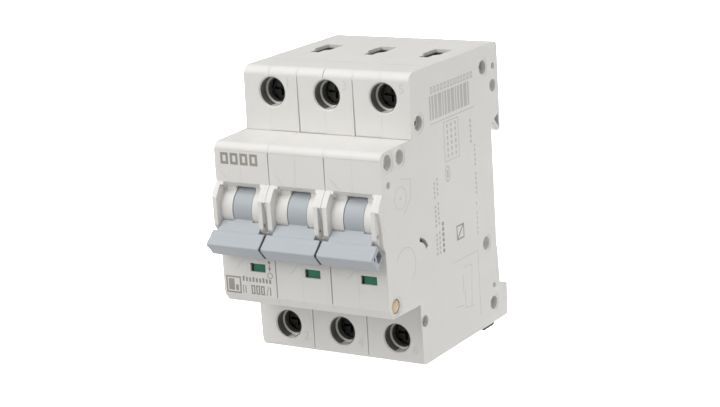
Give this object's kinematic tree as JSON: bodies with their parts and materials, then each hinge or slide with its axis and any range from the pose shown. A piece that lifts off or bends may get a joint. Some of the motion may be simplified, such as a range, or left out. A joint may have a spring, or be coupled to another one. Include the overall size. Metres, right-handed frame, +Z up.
{
  "type": "miniature circuit breaker",
  "caption": "Modular circuit breaker with linked toggle handles, position flags, screw clamp terminals and rail clips, for snapping onto a 35 mm top-hat rail.",
  "frame": {"origin": "middle of the rail seat: on the flat back face that bears on the rail, in the middle of the width and of the rail's height", "axes": "X runs across the poles, the front faces -Y, +Y is the back and +Z is up"},
  "size_m": [0.0522, 0.073, 0.0836],
  "materials": {
    "housing": "warm white moulded plastic with a fine satin grain",
    "toggle": "blue-grey moulded plastic, satin",
    "flag": "green plastic, red on its lower half",
    "clip": "black moulded plastic",
    "steel": "zinc-plated steel",
    "copper": "bare copper",
    "rivet": "dull brass-plated steel",
    "inner_plastic": "dark moulded plastic"
  },
  "bodies": {
    "housing": {"left_shell_pole_1": "housing", "right_shell_pole_1": "housing", "line_terminal_plate_pole_1": "copper", "load_terminal_plate_pole_1": "copper", "fixed_contact_pole_1": "copper", "arc_chute_pole_1": "steel", "trip_coil_pole_1": "copper", "bimetal_strip_pole_1": "steel", "left_shell_pole_2": "housing", "right_shell_pole_2": "housing", "line_terminal_plate_pole_2": "copper", "load_terminal_plate_pole_2": "copper", "fixed_contact_pole_2": "copper", "arc_chute_pole_2": "steel", "trip_coil_pole_2": "copper", "bimetal_strip_pole_2": "steel", "left_shell_pole_3": "housing", "right_shell_pole_3": "housing", "line_terminal_plate_pole_3": "copper", "load_terminal_plate_pole_3": "copper", "fixed_contact_pole_3": "copper", "arc_chute_pole_3": "steel", "trip_coil_pole_3": "copper", "bimetal_strip_pole_3": "steel", "rivet_upper_rear": "rivet", "rivet_upper_front": "rivet", "rivet_collar": "rivet", "rivet_lower_front": "rivet", "rivet_lower_rear": "rivet"},
    "handle": {"toggle_handle_pole_1": "toggle", "toggle_handle_pole_2": "toggle", "toggle_handle_pole_3": "toggle", "handle_tie_bar": "toggle"},
    "flag_pole_1": {"position_flag_pole_1": "flag"},
    "line_screw_pole_1": {"line_terminal_screw_pole_1": "steel"},
    "line_cage_pole_1": {"line_clamp_cage_pole_1": "steel"},
    "load_screw_pole_1": {"load_terminal_screw_pole_1": "steel"},
    "load_cage_pole_1": {"load_clamp_cage_pole_1": "steel"},
    "rail_clip_pole_1": {"rail_clip_pole_1": "clip"},
    "contact_arm_pole_1": {"contact_arm_pole_1": "copper"},
    "coil_plunger_pole_1": {"coil_plunger_pole_1": "steel"},
    "trip_lever_pole_1": {"trip_lever_pole_1": "inner_plastic"},
    "flag_pole_2": {"position_flag_pole_2": "flag"},
    "line_screw_pole_2": {"line_terminal_screw_pole_2": "steel"},
    "line_cage_pole_2": {"line_clamp_cage_pole_2": "steel"},
    "load_screw_pole_2": {"load_terminal_screw_pole_2": "steel"},
    "load_cage_pole_2": {"load_clamp_cage_pole_2": "steel"},
    "rail_clip_pole_2": {"rail_clip_pole_2": "clip"},
    "contact_arm_pole_2": {"contact_arm_pole_2": "copper"},
    "coil_plunger_pole_2": {"coil_plunger_pole_2": "steel"},
    "trip_lever_pole_2": {"trip_lever_pole_2": "inner_plastic"},
    "flag_pole_3": {"position_flag_pole_3": "flag"},
    "line_screw_pole_3": {"line_terminal_screw_pole_3": "steel"},
    "line_cage_pole_3": {"line_clamp_cage_pole_3": "steel"},
    "load_screw_pole_3": {"load_terminal_screw_pole_3": "steel"},
    "load_cage_pole_3": {"load_clamp_cage_pole_3": "steel"},
    "rail_clip_pole_3": {"rail_clip_pole_3": "clip"},
    "contact_arm_pole_3": {"contact_arm_pole_3": "copper"},
    "coil_plunger_pole_3": {"coil_plunger_pole_3": "steel"},
    "trip_lever_pole_3": {"trip_lever_pole_3": "inner_plastic"}
  },
  "joints": [
    {"name": "handle_throw", "type": "hinge", "parent": "housing", "child": "handle", "pos_m": [0, -0.0554, 0.0038], "axis": [-1, 0, 0], "range_deg": [0, 80]},
    {"name": "flag_slide_pole_1", "type": "slide", "parent": "housing", "child": "flag_pole_1", "axis": [0, 0, 1], "range_m": [0, 0.0032]},
    {"name": "contact_close_pole_1", "type": "hinge", "parent": "housing", "child": "contact_arm_pole_1", "pos_m": [-0.0175, -0.043, -0.007], "axis": [1, 0, 0], "range_deg": [0, 16]},
    {"name": "line_screw_turn_pole_1", "type": "hinge", "parent": "housing", "child": "line_screw_pole_1", "pos_m": [-0.01705, -0.036, 0.0331], "axis": [0, 1, 0], "range_deg": [0, 1800]},
    {"name": "line_cage_lift_pole_1", "type": "slide", "parent": "housing", "child": "line_cage_pole_1", "axis": [0, -1, 0], "range_m": [0, 0.004]},
    {"name": "load_screw_turn_pole_1", "type": "hinge", "parent": "housing", "child": "load_screw_pole_1", "pos_m": [-0.01705, -0.036, -0.0331], "axis": [0, 1, 0], "range_deg": [0, 1800]},
    {"name": "load_cage_lift_pole_1", "type": "slide", "parent": "housing", "child": "load_cage_pole_1", "axis": [0, -1, 0], "range_m": [0, 0.004]},
    {"name": "rail_clip_pull_pole_1", "type": "slide", "parent": "housing", "child": "rail_clip_pole_1", "axis": [0, 0, -1], "range_m": [0, 0.004], "stiffness_N_per_m": 1500},
    {"name": "plunger_strike_pole_1", "type": "slide", "parent": "housing", "child": "coil_plunger_pole_1", "axis": [0, -1, 0], "range_m": [0, 0.002], "stiffness_N_per_m": 200},
    {"name": "trip_lever_turn_pole_1", "type": "hinge", "parent": "housing", "child": "trip_lever_pole_1", "pos_m": [-0.0175, -0.04, 0.006], "axis": [1, 0, 0], "range_deg": [0, 13]},
    {"name": "flag_slide_pole_2", "type": "slide", "parent": "housing", "child": "flag_pole_2", "axis": [0, 0, 1], "range_m": [0, 0.0032]},
    {"name": "contact_close_pole_2", "type": "hinge", "parent": "housing", "child": "contact_arm_pole_2", "pos_m": [0, -0.043, -0.007], "axis": [1, 0, 0], "range_deg": [0, 16]},
    {"name": "line_screw_turn_pole_2", "type": "hinge", "parent": "housing", "child": "line_screw_pole_2", "pos_m": [0.00045, -0.036, 0.0331], "axis": [0, 1, 0], "range_deg": [0, 1800]},
    {"name": "line_cage_lift_pole_2", "type": "slide", "parent": "housing", "child": "line_cage_pole_2", "axis": [0, -1, 0], "range_m": [0, 0.004]},
    {"name": "load_screw_turn_pole_2", "type": "hinge", "parent": "housing", "child": "load_screw_pole_2", "pos_m": [0.00045, -0.036, -0.0331], "axis": [0, 1, 0], "range_deg": [0, 1800]},
    {"name": "load_cage_lift_pole_2", "type": "slide", "parent": "housing", "child": "load_cage_pole_2", "axis": [0, -1, 0], "range_m": [0, 0.004]},
    {"name": "rail_clip_pull_pole_2", "type": "slide", "parent": "housing", "child": "rail_clip_pole_2", "axis": [0, 0, -1], "range_m": [0, 0.004], "stiffness_N_per_m": 1500},
    {"name": "plunger_strike_pole_2", "type": "slide", "parent": "housing", "child": "coil_plunger_pole_2", "axis": [0, -1, 0], "range_m": [0, 0.002], "stiffness_N_per_m": 200},
    {"name": "trip_lever_turn_pole_2", "type": "hinge", "parent": "housing", "child": "trip_lever_pole_2", "pos_m": [0, -0.04, 0.006], "axis": [1, 0, 0], "range_deg": [0, 13]},
    {"name": "flag_slide_pole_3", "type": "slide", "parent": "housing", "child": "flag_pole_3", "axis": [0, 0, 1], "range_m": [0, 0.0032]},
    {"name": "contact_close_pole_3", "type": "hinge", "parent": "housing", "child": "contact_arm_pole_3", "pos_m": [0.0175, -0.043, -0.007], "axis": [1, 0, 0], "range_deg": [0, 16]},
    {"name": "line_screw_turn_pole_3", "type": "hinge", "parent": "housing", "child": "line_screw_pole_3", "pos_m": [0.01795, -0.036, 0.0331], "axis": [0, 1, 0], "range_deg": [0, 1800]},
    {"name": "line_cage_lift_pole_3", "type": "slide", "parent": "housing", "child": "line_cage_pole_3", "axis": [0, -1, 0], "range_m": [0, 0.004]},
    {"name": "load_screw_turn_pole_3", "type": "hinge", "parent": "housing", "child": "load_screw_pole_3", "pos_m": [0.01795, -0.036, -0.0331], "axis": [0, 1, 0], "range_deg": [0, 1800]},
    {"name": "load_cage_lift_pole_3", "type": "slide", "parent": "housing", "child": "load_cage_pole_3", "axis": [0, -1, 0], "range_m": [0, 0.004]},
    {"name": "rail_clip_pull_pole_3", "type": "slide", "parent": "housing", "child": "rail_clip_pole_3", "axis": [0, 0, -1], "range_m": [0, 0.004], "stiffness_N_per_m": 1500},
    {"name": "plunger_strike_pole_3", "type": "slide", "parent": "housing", "child": "coil_plunger_pole_3", "axis": [0, -1, 0], "range_m": [0, 0.002], "stiffness_N_per_m": 200},
    {"name": "trip_lever_turn_pole_3", "type": "hinge", "parent": "housing", "child": "trip_lever_pole_3", "pos_m": [0.0175, -0.04, 0.006], "axis": [1, 0, 0], "range_deg": [0, 13]}
  ],
  "couplings": [
    {"joint": "flag_slide_pole_1", "follows": "handle_throw", "m_per_rad": 0.00229},
    {"joint": "contact_close_pole_1", "follows": "handle_throw", "ratio": 0.2},
    {"joint": "line_screw_turn_pole_1", "follows": "line_cage_lift_pole_1", "rad_per_m": 7854},
    {"joint": "load_screw_turn_pole_1", "follows": "load_cage_lift_pole_1", "rad_per_m": 7854},
    {"joint": "trip_lever_turn_pole_1", "follows": "plunger_strike_pole_1", "rad_per_m": 112},
    {"joint": "flag_slide_pole_2", "follows": "handle_throw", "m_per_rad": 0.00229},
    {"joint": "contact_close_pole_2", "follows": "handle_throw", "ratio": 0.2},
    {"joint": "line_screw_turn_pole_2", "follows": "line_cage_lift_pole_2", "rad_per_m": 7854},
    {"joint": "load_screw_turn_pole_2", "follows": "load_cage_lift_pole_2", "rad_per_m": 7854},
    {"joint": "trip_lever_turn_pole_2", "follows": "plunger_strike_pole_2", "rad_per_m": 112},
    {"joint": "flag_slide_pole_3", "follows": "handle_throw", "m_per_rad": 0.00229},
    {"joint": "contact_close_pole_3", "follows": "handle_throw", "ratio": 0.2},
    {"joint": "line_screw_turn_pole_3", "follows": "line_cage_lift_pole_3", "rad_per_m": 7854},
    {"joint": "load_screw_turn_pole_3", "follows": "load_cage_lift_pole_3", "rad_per_m": 7854},
    {"joint": "trip_lever_turn_pole_3", "follows": "plunger_strike_pole_3", "rad_per_m": 112}
  ]
}
